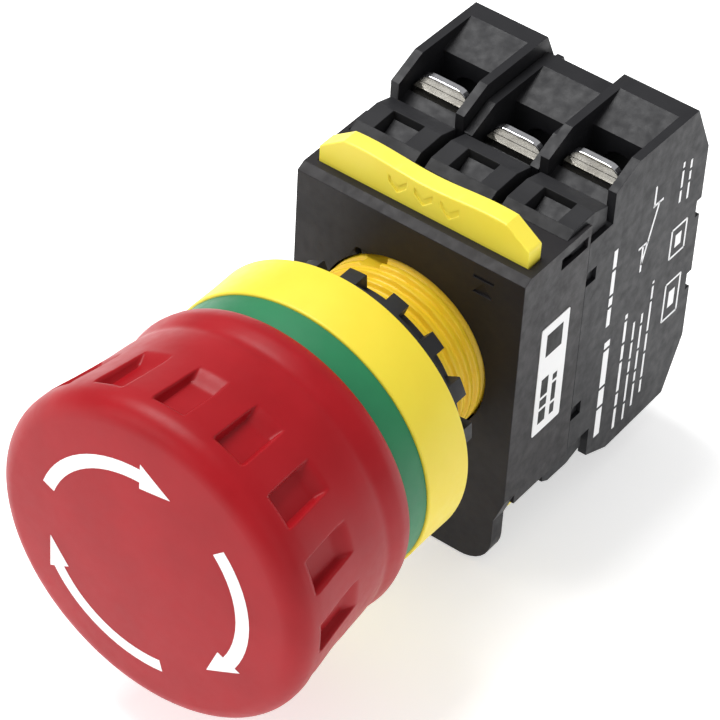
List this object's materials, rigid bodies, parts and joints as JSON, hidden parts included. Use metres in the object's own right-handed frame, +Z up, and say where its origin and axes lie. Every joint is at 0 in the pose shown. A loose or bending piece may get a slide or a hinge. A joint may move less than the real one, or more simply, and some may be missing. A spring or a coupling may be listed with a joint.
{
  "type": "emergency stop button",
  "caption": "Panel-mounted emergency stop: red twist-release mushroom head, yellow bezel on a threaded barrel, black adapter and clip-on contact blocks",
  "frame": {"origin": "centre of the 22 mm panel hole, on the face of the panel that the bezel sits on", "axes": "+X right seen from the head, +Y rearward along the button axis into the panel, +Z up"},
  "size_m": [0.04, 0.0804, 0.0476],
  "materials": {
    "red_cap": "satin moulded plastic",
    "white_print": "white print",
    "grey_plastic": "moulded plastic",
    "spring_steel": "drawn spring wire",
    "natural_nylon": "natural nylon",
    "seal_rubber": "moulded rubber",
    "green_plastic": "satin moulded plastic",
    "yellow_bezel": "satin moulded plastic",
    "orange_barrel": "moulded glass-filled nylon",
    "nut_plastic": "moulded glass-filled nylon",
    "adapter_plastic": "fine textured moulding",
    "base_plastic": "fine textured moulding",
    "yellow_latch": "satin moulded plastic",
    "label_paper": "printed film label",
    "contact_brass": "stamped contact strip",
    "plated_terminal": "tin-plated brass",
    "plated_steel": "zinc-plated steel",
    "block_plastic": "textured moulding"
  },
  "bodies": {
    "root": {"shaft_seal": "seal_rubber", "bearing_bush": "natural_nylon", "detent_ring": "spring_steel", "barrel_end_cap": "natural_nylon", "green_ring": "green_plastic", "yellow_bezel": "yellow_bezel", "panel_gasket": "seal_rubber", "operator_barrel": "orange_barrel", "adapter_housing": "adapter_plastic", "adapter_base": "base_plastic", "latch_springs": "spring_steel", "rating_label": "label_paper", "left_block_housing": "block_plastic", "left_spring": "spring_steel", "left_terminals": "plated_terminal", "centre_block_housing": "block_plastic", "centre_spring": "spring_steel", "centre_terminals": "plated_terminal", "right_block_housing": "block_plastic", "right_spring": "spring_steel", "right_terminals": "plated_terminal"},
    "plunger": {"plunger_rod": "natural_nylon", "hub_clip": "spring_steel", "main_spring": "spring_steel", "twist_spring": "spring_steel"},
    "cap": {"mushroom_cap": "red_cap", "arrow_marks": "white_print", "cap_hub": "grey_plastic"},
    "latch": {"release_latch": "yellow_latch"},
    "transfer": {"transfer_plate": "natural_nylon"},
    "nut_washer": {"thrust_washer": "nut_plastic"},
    "nut": {"lock_nut": "nut_plastic"},
    "left_contact": {"left_slider": "natural_nylon", "left_bridge": "contact_brass"},
    "left_upper_clamp": {"left_upper_clamp": "plated_steel"},
    "left_upper_screw": {"left_upper_screw": "plated_steel"},
    "left_lower_clamp": {"left_lower_clamp": "plated_steel"},
    "left_lower_screw": {"left_lower_screw": "plated_steel"},
    "centre_contact": {"centre_slider": "natural_nylon", "centre_bridge": "contact_brass"},
    "centre_upper_clamp": {"centre_upper_clamp": "plated_steel"},
    "centre_upper_screw": {"centre_upper_screw": "plated_steel"},
    "centre_lower_clamp": {"centre_lower_clamp": "plated_steel"},
    "centre_lower_screw": {"centre_lower_screw": "plated_steel"},
    "right_contact": {"right_slider": "natural_nylon", "right_bridge": "contact_brass"},
    "right_upper_clamp": {"right_upper_clamp": "plated_steel"},
    "right_upper_screw": {"right_upper_screw": "plated_steel"},
    "right_lower_clamp": {"right_lower_clamp": "plated_steel"},
    "right_lower_screw": {"right_lower_screw": "plated_steel"}
  },
  "joints": [
    {"name": "push", "type": "slide", "parent": "root", "child": "plunger", "axis": [0, 1, 0], "range_m": [0, 0.0039], "deforming": ["main_spring"]},
    {"name": "twist_release", "type": "hinge", "parent": "plunger", "child": "cap", "pos_m": [0, -0.022, 0], "axis": [0, 1, 0], "range_deg": [0, 40], "stiffness_Nm_per_rad": 0.02, "deforming": ["twist_spring"]},
    {"name": "release_tab", "type": "slide", "parent": "root", "child": "latch", "axis": [0, 0, -1], "range_m": [0, 0.0022], "stiffness_N_per_m": 1200, "deforming": ["latch_springs"]},
    {"name": "transfer_travel", "type": "slide", "parent": "root", "child": "transfer", "axis": [0, 1, 0], "range_m": [0, 0.0039]},
    {"name": "nut_travel", "type": "slide", "parent": "root", "child": "nut_washer", "axis": [0, 1, 0], "range_m": [0, 0.003]},
    {"name": "nut_turn", "type": "hinge", "parent": "nut_washer", "child": "nut", "pos_m": [0, 0.0028, 0], "axis": [0, 1, 0], "range_deg": [0, 720]},
    {"name": "left_contact_travel", "type": "slide", "parent": "root", "child": "left_contact", "axis": [0, 1, 0], "range_m": [0, 0.0039], "deforming": ["left_spring"]},
    {"name": "left_upper_clamp_travel", "type": "slide", "parent": "root", "child": "left_upper_clamp", "axis": [0, 1, 0], "range_m": [0, 0.0009]},
    {"name": "left_upper_screw_turn", "type": "hinge", "parent": "left_upper_clamp", "child": "left_upper_screw", "pos_m": [-0.01005, 0.0335, 0.0139], "axis": [0, 1, 0], "range_deg": [0, 540]},
    {"name": "left_lower_clamp_travel", "type": "slide", "parent": "root", "child": "left_lower_clamp", "axis": [0, 1, 0], "range_m": [0, 0.0009]},
    {"name": "left_lower_screw_turn", "type": "hinge", "parent": "left_lower_clamp", "child": "left_lower_screw", "pos_m": [-0.01005, 0.0335, -0.0157], "axis": [0, 1, 0], "range_deg": [0, 540]},
    {"name": "centre_contact_travel", "type": "slide", "parent": "root", "child": "centre_contact", "axis": [0, 1, 0], "range_m": [0, 0.0039], "deforming": ["centre_spring"]},
    {"name": "centre_upper_clamp_travel", "type": "slide", "parent": "root", "child": "centre_upper_clamp", "axis": [0, 1, 0], "range_m": [0, 0.0009]},
    {"name": "centre_upper_screw_turn", "type": "hinge", "parent": "centre_upper_clamp", "child": "centre_upper_screw", "pos_m": [0, 0.0335, 0.0119], "axis": [0, 1, 0], "range_deg": [0, 540]},
    {"name": "centre_lower_clamp_travel", "type": "slide", "parent": "root", "child": "centre_lower_clamp", "axis": [0, 1, 0], "range_m": [0, 0.0009]},
    {"name": "centre_lower_screw_turn", "type": "hinge", "parent": "centre_lower_clamp", "child": "centre_lower_screw", "pos_m": [0, 0.0335, -0.0137], "axis": [0, 1, 0], "range_deg": [0, 540]},
    {"name": "right_contact_travel", "type": "slide", "parent": "root", "child": "right_contact", "axis": [0, 1, 0], "range_m": [0, 0.0039], "deforming": ["right_spring"]},
    {"name": "right_upper_clamp_travel", "type": "slide", "parent": "root", "child": "right_upper_clamp", "axis": [0, 1, 0], "range_m": [0, 0.0009]},
    {"name": "right_upper_screw_turn", "type": "hinge", "parent": "right_upper_clamp", "child": "right_upper_screw", "pos_m": [0.01005, 0.0335, 0.0139], "axis": [0, 1, 0], "range_deg": [0, 540]},
    {"name": "right_lower_clamp_travel", "type": "slide", "parent": "root", "child": "right_lower_clamp", "axis": [0, 1, 0], "range_m": [0, 0.0009]},
    {"name": "right_lower_screw_turn", "type": "hinge", "parent": "right_lower_clamp", "child": "right_lower_screw", "pos_m": [0.01005, 0.0335, -0.0157], "axis": [0, 1, 0], "range_deg": [0, 540]}
  ],
  "couplings": [
    {"joint": "transfer_travel", "follows": "push", "ratio": 1},
    {"joint": "nut_turn", "follows": "nut_travel", "rad_per_m": 4188.8},
    {"joint": "left_contact_travel", "follows": "push", "ratio": 1},
    {"joint": "left_upper_screw_turn", "follows": "left_upper_clamp_travel", "rad_per_m": 10472},
    {"joint": "left_lower_screw_turn", "follows": "left_lower_clamp_travel", "rad_per_m": 10472},
    {"joint": "centre_contact_travel", "follows": "push", "ratio": 1},
    {"joint": "centre_upper_screw_turn", "follows": "centre_upper_clamp_travel", "rad_per_m": 10472},
    {"joint": "centre_lower_screw_turn", "follows": "centre_lower_clamp_travel", "rad_per_m": 10472},
    {"joint": "right_contact_travel", "follows": "push", "ratio": 1},
    {"joint": "right_upper_screw_turn", "follows": "right_upper_clamp_travel", "rad_per_m": 10472},
    {"joint": "right_lower_screw_turn", "follows": "right_lower_clamp_travel", "rad_per_m": 10472}
  ]
}
